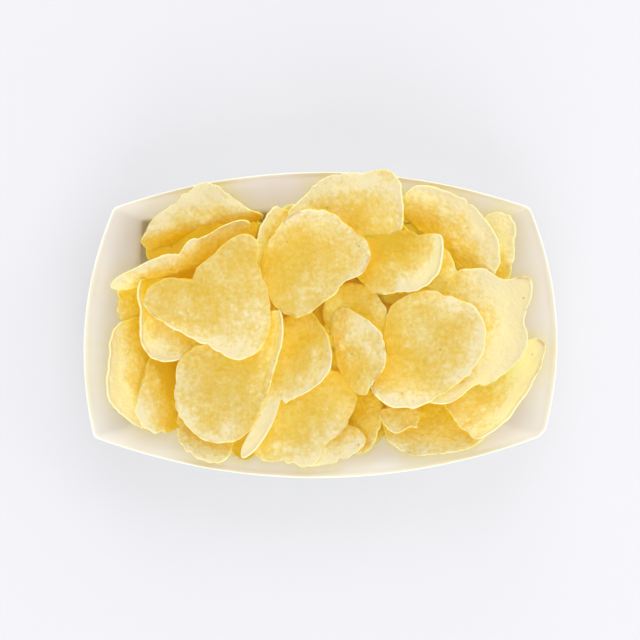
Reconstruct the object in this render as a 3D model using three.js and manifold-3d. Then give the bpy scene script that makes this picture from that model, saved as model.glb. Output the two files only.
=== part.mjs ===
// A folded white card food tray heaped with potato crisps.
// Millimetres, +Z up. The origin is under the middle of the tray, on the surface that it stands on.
//
// The tray is one sheet of card: a flat base with bowed edges, four walls that splay outwards, and
// a narrow gusset where two walls meet. The heap is one solid: every crisp that shows is a slice
// with its own outline, leaned, cupped and curled into place, and they are fused to a mound of the
// crisps that nothing shows of.

import * as THREE from 'three';
import Module from 'manifold-3d';

const wasm = await Module();
wasm.setup();

// ---------------------------------------------------------------- driving dimensions

const CARD = 1.0;                 // thickness of the tray's walls and base
const RIM_CORNERS = [[-95.6, -47.5], [94.5, -46.5], [88.4, 49.6], [-87.2, 49.6]];
const BASE_CORNERS = [[-79, -44], [79, -44], [79, 46.5], [-79, 46.5]];
const RIM_BOW = [17.2, 7.8, 14.6, 7.6];     // how far each rim stands out at its middle
const BASE_BOW = [4, 1.5, 4, 1.5];
const CORNER_HEIGHT = 38;
const MIDDLE_RISE = [5, 4, 5, 4];           // how much higher each rim is at its middle
const GUSSET = [2, 4.5, 2, 2];              // width of the fold at each rim corner
const BASE_GUSSET = 1;
const STEPS_PER_WALL = 12;
const LEVELS = 3;                 // rings between the base and the rim

const CRISP_THICKNESS = 1.8;
const CRISP_STEPS = 18;           // sides of a crisp's outline
const CRISP_RINGS = [0.4, 0.75, 1];
const RIPPLE = 0.35;              // height of the slow waves in a fried slice
// Each wave: [radians per mm along X, along Y, shift from slice to slice, share of RIPPLE]
const WAVES = [[0.11, 0, 1.3, 1], [0, 0.13, 2.1, 1], [0.17, 0.17, 1, 0.7]];

const CLEARANCE = 0.4;            // gap between the heap and the card
const SHELF = 20;                 // how far past the rim a slice may reach
const ROOM_TOP = 100;
const MOUND_EDGE = 5;             // height of the hidden mound at the walls
const MOUND_MIDDLE = 27;          // least height of the mound in the middle
const MOUND_RINGS = [0.97, 0.88, 0.76, 0.64, 0.52, 0.4, 0.27, 0.13];
const MOUND_GAP = 5;              // how far the mound stays below the slices that cover it
const MOUND_REACH = 7;            // how far in from a slice's edge the mound may rise below it
const MOUND_SIDES = 6;            // directions in which that is looked at
const MOUND_INSET = 1;            // how much further than the slices the mound keeps from the card
const COVER_RINGS = [0.001, 0.25, 0.45, 0.65, 0.8, 0.92, 1];    // where a slice is measured
const COVER_SPOKES = 30;
const COVER_NEAR = 4.9;           // a slice covers a place this near one of its measured points
const PROP_FOOT = 7;              // radius of the hidden prop below each crisp, at its foot
const PROP_TIP = 1;
const PROP_SIDES = 6;
const PROP_START = 6;             // height of the prop's foot
const PROP_STOP = 0.2;            // how far below the middle of the slice the prop ends

// One entry for each crisp that shows, from the bottom of the heap to the top.
//   at      the middle of the slice
//   radii   its flat outline: radii at even steps anticlockwise, the first at `first` degrees
//   lean    [direction the slice rises towards, degrees of slope]
//   cup     [direction, rise along it, rise across it], each rise at CUP_REACH from the middle
//   curls   [direction, start, length of arc, degrees], each bends the slice beyond `start`
// Directions are in degrees in the plan, anticlockwise from +X.
const CUP_REACH = 25;
const CRISPS = [
  { name: 'under the arch', at: [-50, 35.5, 39], first: 14,
    radii: [24, 19, 14, 13, 14, 19, 24, 19, 14, 13, 14, 19],
    lean: [280, 8] },
  { name: 'left gap', at: [-78, 10.5, 34], first: 0,
    radii: [14, 10, 9, 10, 10, 10, 8, 10, 11, 12, 12, 13],
    lean: [180, 25] },
  { name: 'front gap', at: [-30.5, -42, 38], first: 15,
    radii: [9, 10, 11, 10, 8, 8, 9, 11, 15, 13, 10, 9],
    lean: [270, 5] },
  { name: 'back corner', at: [73.5, 32.5, 42], first: 15,
    radii: [9, 13, 15, 14, 12, 8, 8, 12, 16, 16, 11, 9],
    lean: [0, 28], cup: [90, 2, 0] },
  { name: 'front right flat', at: [49, -40, 37], first: 15,
    radii: [16, 14, 13, 14, 17, 22, 23, 20, 16, 15, 18, 22],
    lean: [270, 12], cup: [0, 4, 3] },
  { name: 'front shade', at: [12.5, -38, 38], first: 0,
    radii: [15, 15, 13, 11, 10, 9, 9, 11, 13, 16, 17, 15],
    lean: [0, 22], cup: [90, 2, 2] },
  { name: 'front left low', at: [-48.5, -41.5, 41], first: 0,
    radii: [12, 10, 10, 11, 12, 12, 12, 13, 14, 16, 18, 14],
    lean: [270, 14], cup: [0, 3, 2] },
  { name: 'far left', at: [-76, -20, 39], first: 15,
    radii: [12, 13, 16, 23, 22, 22, 20, 20, 22, 19, 20, 24, 16, 14, 12],
    lean: [180, 20], cup: [90, -3, 0], curls: [[180, 3, 9, 48]] },
  { name: 'left wall', at: [-62.5, -26.5, 42], first: 10,
    radii: [11, 13, 16, 18, 16, 14, 15, 20, 20, 18, 15, 12],
    lean: [180, 35], cup: [90, -2, 0], curls: [[180, 6, 7, -25]] },
  { name: 'front rim', at: [1, -46, 42], first: 25,
    radii: [11, 10, 10, 10, 11, 14, 18, 16, 13, 13, 15, 18],
    lean: [270, 5], cup: [0, 2, 2] },
  { name: 'front right cup', at: [70, -26.5, 44], first: 0,
    radii: [23, 27, 30, 18, 11, 9, 9, 10, 12, 15, 19, 19, 21, 24, 33, 28, 22, 22],
    lean: [310, 20], cup: [40, 4, 4], curls: [[310, 3, 10, 40]] },
  { name: 'ragged shard', at: [35, -39.5, 46], first: 20,
    radii: [7, 7, 5, 5, 6, 8, 11, 9, 8, 7, 5, 4, 4, 6, 6],
    lean: [270, 8], curls: [[295, 2, 3, 45]] },
  { name: 'right sliver', at: [45.5, 19.5, 47], first: 0,
    radii: [12, 12, 14, 14, 13, 11, 11, 12, 13, 13, 14, 14],
    lean: [0, 8], cup: [90, -1, 2] },
  { name: 'back right', at: [55, 39, 48], first: 5,
    radii: [18, 15, 15, 16, 19, 25, 24, 16, 11, 11, 12, 15, 21, 25, 22],
    lean: [50, 27], cup: [135, 4, 1], curls: [[230, 6, 8, 15]] },
  { name: 'back left arch', at: [-50, 46, 50], first: 10,
    radii: [19, 15, 14, 14, 13, 11, 11, 11, 14, 23, 28, 31, 22, 14, 13, 14, 21, 27],
    lean: [100, 10], curls: [[147, 13, 4, -58], [283, 1, 4, -48]] },
  { name: 'long left', at: [-58.5, 25, 50], first: 15,
    radii: [25, 34, 18, 13, 7, 7, 9, 12, 18, 30, 14, 10, 9, 9, 10, 11, 14, 19],
    lean: [116, 50], curls: [[116, 3, 6, -24]] },
  { name: 'left rim', at: [-52, 1, 50], first: 10,
    radii: [22, 21, 19, 18, 18, 20, 24, 32, 26, 26, 25, 22, 17, 14, 15, 22, 25, 24],
    lean: [0, 0], curls: [[180, 17, 6, 66], [262, 12, 5, 30]] },
  { name: 'front middle', at: [-6, -39, 47], first: 5,
    radii: [19, 24, 23, 18, 15, 16, 18, 26, 20, 20, 14, 15],
    lean: [90, 4], cup: [0, 3, 2], curls: [[200, 10, 8, -14], [340, 9, 8, -14]] },
  { name: 'middle sliver', at: [3, -6.5, 44.5], first: 0,
    radii: [8, 9, 12, 18, 13, 9, 7, 10, 13, 16, 15, 10],
    lean: [0, 8], cup: [90, -1, 3] },
  { name: 'big right', at: [65, -6.5, 49], first: 5,
    radii: [22, 23, 35, 28, 30, 30, 24, 21, 20, 21, 26, 34, 31, 20, 19, 18, 19, 21],
    lean: [0, 5], cup: [30, 3, 2], curls: [[0, 10, 10, 18], [255, 14, 8, 18]] },
  { name: 'behind the leaf', at: [14.5, 0, 49], first: 5,
    radii: [15, 16, 17, 18, 17, 15, 14, 15, 16, 17, 19, 17],
    lean: [20, 20], cup: [90, 1, 4] },
  { name: 'front left', at: [-41, -28, 51], first: 5,
    radii: [21, 28, 44, 36, 27, 22, 22, 22, 20, 20, 20, 20, 21, 21, 21, 20, 18, 18],
    lean: [0, 0], cup: [254, 3, 1], curls: [[344, 13, 8, 44]] },
  { name: 'fan', at: [-17, -25, 49.5], first: 10,
    radii: [24, 28, 31, 33, 21, 11, 8, 6, 6, 7, 9, 12, 35, 8, 8, 8, 10, 15],
    lean: [333, 10], cup: [254, 2, 4], curls: [[333, -2, 6, 16], [300, 9, 7, 20]] },
  { name: 'curled back', at: [-19, 36, 50], first: 5,
    radii: [8, 10, 13, 13, 10, 9, 9, 11, 15, 14, 10, 8],
    lean: [170, 38], cup: [80, 0, 2], curls: [[350, 1, 6, 30]] },
  { name: 'back middle', at: [12, 48.5, 57], first: 5,
    radii: [23, 23, 22, 16, 15, 15, 16, 17, 19, 25, 24, 21, 18, 17, 16, 19, 24, 24],
    lean: [90, 14], cup: [300, 3, -1], curls: [[0, 16, 5, 34]] },
  { name: 'round right', at: [45, -10.5, 56], first: 10,
    radii: [24, 26, 24, 25, 24, 20, 19, 31, 28, 20, 18, 20],
    lean: [0, 4], cup: [0, 2, 2], curls: [[252, 11, 7, 26], [0, 10, 12, 8]] },
  { name: 'leaf', at: [15.5, -11, 57], first: 5,
    radii: [14, 14, 14, 16, 21, 14, 12, 13, 15, 18, 15, 15],
    lean: [0, 44], cup: [90, -1, 3], curls: [[0, 4, 6, -14]] },
  { name: 'middle right', at: [31, 26, 59], first: 5,
    radii: [24, 23, 16, 14, 13, 12, 14, 18, 20, 19, 17, 16, 15, 13, 13, 15, 18, 22],
    lean: [335, 14], cup: [340, 2, 2], curls: [[345, 10, 8, 36]] },
  { name: 'top middle', at: [-2.5, 25.5, 61], first: 15,
    radii: [24, 21, 22, 23, 23, 21, 21, 22, 23, 24, 23, 18, 16, 15, 22],
    lean: [60, 6], cup: [40, 2, 1], curls: [[318, 6, 10, 28], [100, 5, 10, 14]] },
  { name: 'top left', at: [-46.5, 10, 64], first: 10,
    radii: [25, 25, 32, 19, 14, 11, 20, 26, 22, 19, 18, 20, 27, 31, 28],
    lean: [60, 3], cup: [140, -2, 3], curls: [[240, 12, 7, 50], [0, 14, 10, -24]] },
];

// ---------------------------------------------------------------- helpers

const radians = THREE.MathUtils.degToRad;

function direction(degrees) {
  return new THREE.Vector2(Math.cos(radians(degrees)), Math.sin(radians(degrees)));
}

// A closed mesh from rings of equal length, with a fan over the first and the last.
// The rings run anticlockwise seen from the side that the last fan faces.
function loft(rings, firstCentre, lastCentre) {
  const count = rings[0].length;
  const points = [...rings.flat(), firstCentre, lastCentre];
  const firstTip = points.length - 2;
  const lastTip = points.length - 1;
  const lastRing = (rings.length - 1) * count;
  const triangles = [];
  for (let i = 0; i < count; i += 1) {
    const j = (i + 1) % count;
    triangles.push(firstTip, j, i);
    triangles.push(lastTip, lastRing + i, lastRing + j);
    for (let k = 0; k < rings.length - 1; k += 1) {
      const low = k * count;
      const high = low + count;
      triangles.push(low + i, low + j, high + j);
      triangles.push(low + i, high + j, high + i);
    }
  }
  const geometry = new THREE.BufferGeometry();
  geometry.setAttribute('position', new THREE.Float32BufferAttribute(
    points.flatMap((point) => point.toArray()), 3));
  geometry.setIndex(triangles);
  return geometry;
}

function toSolid(geometry) {
  return new wasm.Manifold(new wasm.Mesh({
    numProp: 3,
    vertProperties: new Float32Array(geometry.getAttribute('position').array),
    triVerts: new Uint32Array(geometry.getIndex().array),
  }));
}

function toGeometry(solid) {
  const mesh = solid.getMesh();
  const geometry = new THREE.BufferGeometry();
  geometry.setAttribute('position', new THREE.Float32BufferAttribute(mesh.vertProperties, 3));
  geometry.setIndex([...mesh.triVerts]);
  return geometry;
}

// ---------------------------------------------------------------- the tray

// One bowed edge from corner to corner, which stops short of the corners by `startCut` and `endCut`.
function bowedEdge(start, end, bow, startCut, endCut) {
  const from = new THREE.Vector2(...start);
  const to = new THREE.Vector2(...end);
  const along = to.clone().sub(from);
  const length = along.length();
  const outward = new THREE.Vector2(along.y, -along.x).normalize();
  const first = startCut / length;
  const last = 1 - endCut / length;
  const edge = [];
  for (let i = 0; i <= STEPS_PER_WALL; i += 1) {
    const t = THREE.MathUtils.lerp(first, last, i / STEPS_PER_WALL);
    const arch = 1 - (2 * t - 1) ** 2;
    const point = from.clone().addScaledVector(along, t).addScaledVector(outward, bow * arch);
    edge.push({ point, outward, arch });
  }
  return edge;
}

// The ring round the tray at `level` (0 at the base, 1 at the rim), moved in from the card's
// outer face by `inset` and up by `lift`.
function trayRing(level, inset, lift) {
  const ring = [];
  for (let side = 0; side < 4; side += 1) {
    const next = (side + 1) % 4;
    const fold = Math.max(inset, 0);
    const [startCut, endCut] = [GUSSET[side], GUSSET[next]].map((width) => width / 2 + fold);
    const baseCut = BASE_GUSSET / 2 + fold;
    const rim = bowedEdge(RIM_CORNERS[side], RIM_CORNERS[next], RIM_BOW[side], startCut, endCut);
    const base = bowedEdge(BASE_CORNERS[side], BASE_CORNERS[next], BASE_BOW[side], baseCut, baseCut);
    for (let i = 0; i <= STEPS_PER_WALL; i += 1) {
      const height = CORNER_HEIGHT + MIDDLE_RISE[side] * rim[i].arch;
      const place = base[i].point.clone().lerp(rim[i].point, level);
      place.addScaledVector(rim[i].outward, -inset);
      ring.push(new THREE.Vector3(place.x, place.y, height * level + lift));
    }
  }
  return ring;
}

// The rings up one face of the walls, `inset` from the outer face, from the base to the rim.
function wallRings(inset) {
  const rings = [];
  for (let k = 0; k <= LEVELS; k += 1) {
    const level = k / LEVELS;
    rings.push(trayRing(level, inset, inset * (1 - level)));
  }
  return rings;
}

function makeTray() {
  const outside = wallRings(0);
  const inside = wallRings(CARD).reverse();
  return loft([...outside, ...inside], new THREE.Vector3(0, 0, 0), new THREE.Vector3(0, 0, CARD));
}

// The room that the heap may fill: the hollow of the tray less the clearance, open above the rim.
function makeRoom() {
  const inset = CARD + CLEARANCE;
  const overRim = trayRing(1, inset, CLEARANCE);
  const shelf = trayRing(1, -SHELF, CLEARANCE);
  const above = shelf.map((point) => new THREE.Vector3(point.x, point.y, ROOM_TOP));
  return loft([...wallRings(inset), overRim, shelf, above],
    new THREE.Vector3(0, 0, inset), new THREE.Vector3(0, 0, ROOM_TOP));
}

// ---------------------------------------------------------------- the crisps

// Radius of a slice's outline at `angle` degrees: a smooth closed curve through its radii.
function outlineRadius(angle, crisp) {
  const { radii, first } = crisp;
  const count = radii.length;
  const turns = (((angle - first) / 360) % 1 + 1) % 1;
  const step = Math.floor(turns * count);
  const w = turns * count - step;
  const [before, start, end, after] = [-1, 0, 1, 2].map((k) => radii[(step + k + count) % count]);
  const startSlope = (end - before) / 2;
  const endSlope = (after - start) / 2;
  return (2 * w ** 3 - 3 * w ** 2 + 1) * start + (w ** 3 - 2 * w ** 2 + w) * startSlope
    + (3 * w ** 2 - 2 * w ** 3) * end + (w ** 3 - w ** 2) * endSlope;
}

// Bends everything that lies more than `start` towards `toward` upwards, along an arc.
function curl(point, [toward, start, arc, degrees]) {
  const along = direction(toward);
  const bend = radians(degrees) / arc;
  const reach = point.x * along.x + point.y * along.y - start;
  if (reach <= 0) return point;
  const angle = bend * Math.min(reach, arc);
  const beyond = Math.max(reach - arc, 0);
  const newReach = Math.sin(angle) / bend - point.z * Math.sin(angle) + beyond * Math.cos(angle);
  const shift = newReach - reach;
  const z = (1 - Math.cos(angle)) / bend + point.z * Math.cos(angle) + beyond * Math.sin(angle);
  return new THREE.Vector3(point.x + shift * along.x, point.y + shift * along.y, z);
}

// Takes a point of the flat slice to where it lies in the heap.
function place(flat, crisp, seed) {
  let point = flat.clone();
  const { x, y } = flat;
  for (const [perX, perY, shift, share] of WAVES) {
    point.z += RIPPLE * share * Math.sin(perX * x + perY * y + shift * seed);
  }
  const [cupDirection, riseAlong, riseAcross] = crisp.cup ?? [0, 0, 0];
  const cup = direction(cupDirection);
  const along = (x * cup.x + y * cup.y) / CUP_REACH;
  const across = (y * cup.x - x * cup.y) / CUP_REACH;
  point.z += riseAlong * along ** 2 + riseAcross * across ** 2;
  for (const bend of crisp.curls ?? []) {
    point = curl(point, bend);
  }
  const [uphill, slope] = crisp.lean;
  const rise = direction(uphill);
  const axis = new THREE.Vector3(rise.y, -rise.x, 0);
  point.applyAxisAngle(axis, radians(slope));
  return point.add(new THREE.Vector3(...crisp.at));
}

// One fried slice: two faces of rings, round the rim from the lower to the upper.
function makeCrisp(crisp, seed) {
  const ringAt = (fraction, z) => {
    const ring = [];
    for (let i = 0; i < CRISP_STEPS; i += 1) {
      const angle = 360 * i / CRISP_STEPS;
      const radius = outlineRadius(angle, crisp) * fraction;
      const spoke = direction(angle).multiplyScalar(radius);
      ring.push(place(new THREE.Vector3(spoke.x, spoke.y, z), crisp, seed));
    }
    return ring;
  };
  const half = CRISP_THICKNESS / 2;
  const below = CRISP_RINGS.map((fraction) => ringAt(fraction, -half));
  const above = CRISP_RINGS.map((fraction) => ringAt(fraction, half)).reverse();
  const lowCentre = place(new THREE.Vector3(0, 0, -half), crisp, seed);
  const highCentre = place(new THREE.Vector3(0, 0, half), crisp, seed);
  return loft([...below, ...above], lowCentre, highCentre);
}

// The middle surface of a slice as a scatter of points, to measure heights from.
function scatter(crisp, seed) {
  const points = [];
  for (const fraction of COVER_RINGS) {
    for (let i = 0; i < COVER_SPOKES; i += 1) {
      const angle = 360 * i / COVER_SPOKES;
      const spoke = direction(angle).multiplyScalar(outlineRadius(angle, crisp) * fraction);
      points.push(place(new THREE.Vector3(spoke.x, spoke.y, 0), crisp, seed));
    }
  }
  return points;
}

// Height of the uppermost slice over (x, y), or of the plain dome where no slice covers it.
function coverHeight(x, y, dome, scatters) {
  let cover = dome;
  for (const points of scatters) {
    let nearest = COVER_NEAR;
    let height = dome;
    for (const point of points) {
      const distance = Math.hypot(point.x - x, point.y - y);
      if (distance < nearest) {
        nearest = distance;
        height = point.z;
      }
    }
    cover = Math.max(cover, height);
  }
  return cover;
}

// The hidden mound: a dome that rises to just below the slices wherever they cover it well.
function makeMound() {
  const scatters = CRISPS.map((crisp, index) => scatter(crisp, index + 1));
  const inset = CARD + CLEARANCE + MOUND_INSET;
  const floor = trayRing(0, inset, CARD + CLEARANCE);
  const wall = trayRing(MOUND_EDGE / CORNER_HEIGHT, inset, 0);
  const steps = [new THREE.Vector2(0, 0)];
  for (let i = 0; i < MOUND_SIDES; i += 1) {
    steps.push(direction(360 * i / MOUND_SIDES).multiplyScalar(MOUND_REACH));
  }
  const heightAt = (x, y, fraction) => {
    const dome = THREE.MathUtils.lerp(MOUND_MIDDLE, MOUND_EDGE, fraction ** 2);
    const covers = steps.map((step) => coverHeight(x + step.x, y + step.y, dome, scatters));
    return Math.max(dome, Math.min(...covers) - MOUND_GAP);
  };
  const rings = MOUND_RINGS.map((fraction) => wall.map((point) => {
    const x = point.x * fraction;
    const y = point.y * fraction;
    return new THREE.Vector3(x, y, heightAt(x, y, fraction));
  }));
  const base = new THREE.Vector3(0, 0, CARD + CLEARANCE);
  return loft([floor, wall, ...rings], base, new THREE.Vector3(0, 0, heightAt(0, 0, 0)));
}

// A cone from inside the mound to the middle of a slice, in place of the crisps that hold it up.
function makeProp(crisp) {
  const [x, y, z] = crisp.at;
  const ring = (radius, height) => Array.from({ length: PROP_SIDES }, (_, i) => {
    const spoke = direction(360 * i / PROP_SIDES).multiplyScalar(radius);
    return new THREE.Vector3(x + spoke.x, y + spoke.y, height);
  });
  const tip = z - PROP_STOP;
  return loft([ring(PROP_FOOT, PROP_START), ring(PROP_TIP, tip)],
    new THREE.Vector3(x, y, PROP_START), new THREE.Vector3(x, y, tip));
}

// Fuses the slices, their props and the mound, keeps them clear of the card, and keeps only the
// outer skin of the largest piece, which fills any hollow that fusing sealed.
function makeHeap() {
  let heap = toSolid(makeMound());
  CRISPS.forEach((crisp, index) => {
    heap = heap.add(toSolid(makeProp(crisp)));
    heap = heap.add(toSolid(makeCrisp(crisp, index + 1)));
  });
  heap = heap.intersect(toSolid(makeRoom()));
  const pieces = heap.decompose();
  pieces.sort((a, b) => b.volume() - a.volume());
  return toGeometry(pieces[0]);
}

// ---------------------------------------------------------------- the model

const card = new THREE.MeshStandardMaterial({ color: 0xf4f3ee, roughness: 0.6, metalness: 0 });
const fried = new THREE.MeshStandardMaterial({ color: 0xf0d78a, roughness: 0.55, metalness: 0 });

const tray = new THREE.Mesh(makeTray(), card);
tray.name = 'tray';

const crisps = new THREE.Mesh(makeHeap(), fried);
crisps.name = 'crisps';

const part = new THREE.Group();
part.add(tray, crisps);

export default part;
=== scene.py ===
# %% [markdown]
# # A card food tray heaped with potato crisps
# The real thing is a tray folded from one sheet of white card and about thirty-five crisps that
# were tipped into it. It could be sculpted as one lump, but crisps are thin slices that let light
# through, so each one is made as a slice of its own and laid where it lies in the heap.
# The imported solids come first. They hold the true places and sizes, and everything else fits them.

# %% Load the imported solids
import math

import bpy
import numpy as np
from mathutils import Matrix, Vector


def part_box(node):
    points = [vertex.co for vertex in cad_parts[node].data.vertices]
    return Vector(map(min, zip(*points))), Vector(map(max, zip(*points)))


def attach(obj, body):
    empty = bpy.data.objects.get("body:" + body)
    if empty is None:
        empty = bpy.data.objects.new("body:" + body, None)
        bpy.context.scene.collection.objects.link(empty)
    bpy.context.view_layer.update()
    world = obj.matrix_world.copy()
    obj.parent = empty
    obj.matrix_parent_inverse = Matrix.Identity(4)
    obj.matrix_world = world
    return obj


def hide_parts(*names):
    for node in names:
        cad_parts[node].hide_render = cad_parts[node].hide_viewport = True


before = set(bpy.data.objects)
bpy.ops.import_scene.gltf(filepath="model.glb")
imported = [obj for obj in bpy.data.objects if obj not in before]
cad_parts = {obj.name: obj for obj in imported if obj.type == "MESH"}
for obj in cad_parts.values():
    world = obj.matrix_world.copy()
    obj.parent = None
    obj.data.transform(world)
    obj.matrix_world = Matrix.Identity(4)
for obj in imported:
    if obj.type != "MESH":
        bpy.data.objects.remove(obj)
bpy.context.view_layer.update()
MM = 0.001
TRAY_LOW, TRAY_HIGH = [np.array(corner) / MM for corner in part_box("tray")]
HEAP_LOW, HEAP_HIGH = [np.array(corner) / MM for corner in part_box("crisps")]
print("tray, mm:", TRAY_LOW.round(1), TRAY_HIGH.round(1))
print("heap, mm:", HEAP_LOW.round(1), HEAP_HIGH.round(1))

# %% [markdown]
# ## Small helpers
# Colours are written as the hex values that a colour picker shows, and Blender works in linear
# light, so one function turns them. One starts a material with an empty tree of nodes, and one
# adds a node with its settings and links. One more turns arrays of points and faces into a mesh,
# which is much faster than adding faces one by one.

# %% Colour, node and mesh helpers
def colour(code):
    """Linear RGBA from an sRGB hex value such as "#F4E2A0"."""
    channels = [int(code[i:i + 2], 16) / 255 for i in (1, 3, 5)]
    linear = [c / 12.92 if c <= 0.04045 else ((c + 0.055) / 1.055) ** 2.4 for c in channels]
    return (*linear, 1.0)


def new_finish(name):
    """A material and its tree of nodes, still empty."""
    material = bpy.data.materials.new(name)
    material.use_nodes = True
    material.node_tree.nodes.clear()
    return material, material.node_tree


def add(tree, kind, settings=None, inputs=None):
    """Adds a node, sets its properties, and fills its inputs with values or other nodes' sockets."""
    node = tree.nodes.new(kind)
    for name, value in (settings or {}).items():
        setattr(node, name, value)
    for name, value in (inputs or {}).items():
        if isinstance(value, bpy.types.NodeSocket):
            tree.links.new(value, node.inputs[name])
        else:
            node.inputs[name].default_value = value
    return node


def mesh_from(name, points, quads, attributes=None, smooth=True):
    """A mesh of quads. points are in mm; attributes maps a name to one number or vector a point."""
    mesh = bpy.data.meshes.new(name)
    mesh.vertices.add(len(points))
    mesh.vertices.foreach_set("co", (points * MM).astype(np.float32).ravel())
    mesh.loops.add(quads.size)
    mesh.loops.foreach_set("vertex_index", quads.astype(np.int32).ravel())
    mesh.polygons.add(len(quads))
    mesh.polygons.foreach_set("loop_start", np.arange(0, quads.size, 4, dtype=np.int32))
    mesh.polygons.foreach_set("use_smooth", np.full(len(quads), smooth))
    for key, values in (attributes or {}).items():
        if values.ndim == 2:
            layer = mesh.attributes.new(key, "FLOAT_VECTOR", "POINT")
            layer.data.foreach_set("vector", values.astype(np.float32).ravel())
        else:
            layer = mesh.attributes.new(key, "FLOAT", "POINT")
            layer.data.foreach_set("value", values.astype(np.float32))
    mesh.update(calc_edges=True)
    mesh.validate()
    return mesh


def show(mesh, material):
    """Puts a mesh in the scene as an object of the same name, with its material."""
    piece = bpy.data.objects.new(mesh.name, mesh)
    bpy.context.scene.collection.objects.link(piece)
    mesh.materials.clear()
    mesh.materials.append(material)
    print(f"{mesh.name}: {sum(len(p.vertices) - 2 for p in mesh.polygons)} triangles")
    return piece


def direction(degrees):
    """The unit vector in the plan that points `degrees` anticlockwise from +X."""
    return np.array([math.cos(math.radians(degrees)), math.sin(math.radians(degrees))])


def grid_quads(index):
    """The quads between neighbours in a square array of point numbers."""
    corners = index[:-1, :-1], index[1:, :-1], index[1:, 1:], index[:-1, 1:]
    return np.stack(corners, -1).reshape(-1, 4)


# %% [markdown]
# ## The slices that show
# A crisp starts as a flat slice of potato, so each one is given as its flat outline and what
# frying and the heap then did to it: it cupped, its rim curled, and it came to rest at a slant.
# Sculpting every crisp by hand would take days and Geometry Nodes would give crisps that all look
# related, so a short list of numbers for each crisp is the middle way.
#
# - `at`: where the middle lies, in mm
# - `first` and `radii`: the outline's radii at even steps anticlockwise, the first at `first` degrees
# - `lean`: the direction the slice rises towards, and by how many degrees
# - `cup`: a direction, and how far the slice rises along and across it, 25 mm from the middle
# - `curls`: a direction, how far from the middle the curl starts, the length of its arc, and degrees
# - `tone`: how pale the slice is, from 0, oily gold, to 1, dry straw
# - `fade`: the direction towards which it grows paler, and by how much over 20 mm; this is
#   painted light and shade, paler towards the side of the slice that is lit

# %% List the slices, from the bottom of the heap to the top
SLICES = []


def crisp(name, at, first, radii, lean=(0, 0), cup=(0, 0, 0), curls=(), tone=0.5, fade=(0, 0)):
    """Adds a slice to the list. Its seed gives it blisters and ragged spots of its own."""
    SLICES.append(dict(name=name, at=np.array(at), first=first, radii=np.array(radii, float),
                       lean=lean, cup=cup, curls=curls, tone=tone, fade=fade,
                       seed=len(SLICES) + 1))


# The slice under the arch lies in the shadow of the arch above it. Its low tone is painted shade.
crisp("under the arch", (-50, 35.5, 39), 14, (24, 19, 14, 13, 14, 19, 24, 19, 14, 13, 14, 19),
      lean=(280, 8), tone=0.05)
crisp("left gap", (-78, 10.5, 34), 0, (14, 10, 9, 10, 10, 10, 8, 10, 11, 12, 12, 13),
      lean=(180, 25), tone=0.6)
crisp("front gap", (-30.5, -42, 38), 15, (9, 10, 11, 10, 8, 8, 9, 11, 15, 13, 10, 9),
      lean=(270, 5), tone=0.05)
crisp("back corner", (73.5, 32.5, 42), 15, (9, 13, 15, 14, 12, 8, 8, 12, 16, 16, 11, 9),
      lean=(0, 28), cup=(90, 2, 0), tone=1.05, fade=(85, 0.4))
crisp("front right flat", (49, -40, 37), 15, (16, 14, 13, 14, 17, 22, 23, 20, 16, 15, 18, 22),
      lean=(270, 12), cup=(0, 4, 3), tone=0.65, fade=(95, 0.2))
crisp("front shade", (12.5, -38, 38), 0, (15, 15, 13, 11, 10, 9, 9, 11, 13, 16, 17, 15),
      lean=(0, 22), cup=(90, 2, 2))
crisp("front left low", (-48.5, -41.5, 41), 0, (12, 10, 10, 11, 12, 12, 12, 13, 14, 16, 18, 14),
      lean=(270, 14), cup=(0, 3, 2), tone=0.62)
crisp("far left", (-76, -20, 39), 15, (12, 13, 16, 23, 22, 22, 20, 20, 22, 19, 20, 24, 16, 14, 12),
      lean=(180, 20), cup=(90, -3, 0), curls=[(180, 3, 9, 48)], tone=0.75, fade=(192, 0.8))
crisp("left wall", (-62.5, -26.5, 42), 10, (11, 13, 16, 18, 16, 14, 15, 20, 20, 18, 15, 12),
      lean=(180, 35), cup=(90, -2, 0), curls=[(180, 6, 7, -25)], tone=0, fade=(203, 1))
crisp("front rim", (1, -46, 42), 25, (11, 10, 10, 10, 11, 14, 18, 16, 13, 13, 15, 18),
      lean=(270, 5), cup=(0, 2, 2), tone=0.65, fade=(265, 0.2))
crisp("front right cup", (70, -26.5, 44), 0,
      (23, 27, 30, 18, 11, 9, 9, 10, 12, 15, 19, 19, 21, 24, 33, 28, 22, 22),
      lean=(310, 20), cup=(40, 4, 4), curls=[(310, 3, 10, 40)], tone=0.95, fade=(70, 0.5))
crisp("ragged shard", (35, -39.5, 46), 20, (7, 7, 5, 5, 6, 8, 11, 9, 8, 7, 5, 4, 4, 6, 6),
      lean=(270, 8), curls=[(295, 2, 3, 45)], tone=0.75)
crisp("right sliver", (45.5, 19.5, 47), 0, (12, 12, 14, 14, 13, 11, 11, 12, 13, 13, 14, 14),
      lean=(0, 8), cup=(90, -1, 2), tone=0.9, fade=(325, 0.6))
crisp("back right", (55, 39, 48), 5, (18, 15, 15, 16, 19, 25, 24, 16, 11, 11, 12, 15, 21, 25, 22),
      lean=(50, 27), cup=(135, 4, 1), curls=[(230, 6, 8, 15)], tone=0.63, fade=(55, 0.2))
crisp("back left arch", (-50, 46, 50), 10,
      (19, 15, 14, 14, 13, 11, 11, 11, 14, 22, 28, 27, 9, 5, 5, 6, 10, 27),
      lean=(100, 10), curls=[(147, 13, 4, -58), (283, 1, 4, -48)], tone=0.62, fade=(100, 0.2))
crisp("long left", (-58.5, 25, 50), 15,
      (25, 34, 18, 13, 7, 7, 9, 12, 18, 30, 14, 10, 9, 9, 10, 11, 14, 19),
      lean=(116, 50), curls=[(116, 3, 6, -24)], tone=0.6, fade=(120, 0.3))
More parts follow.
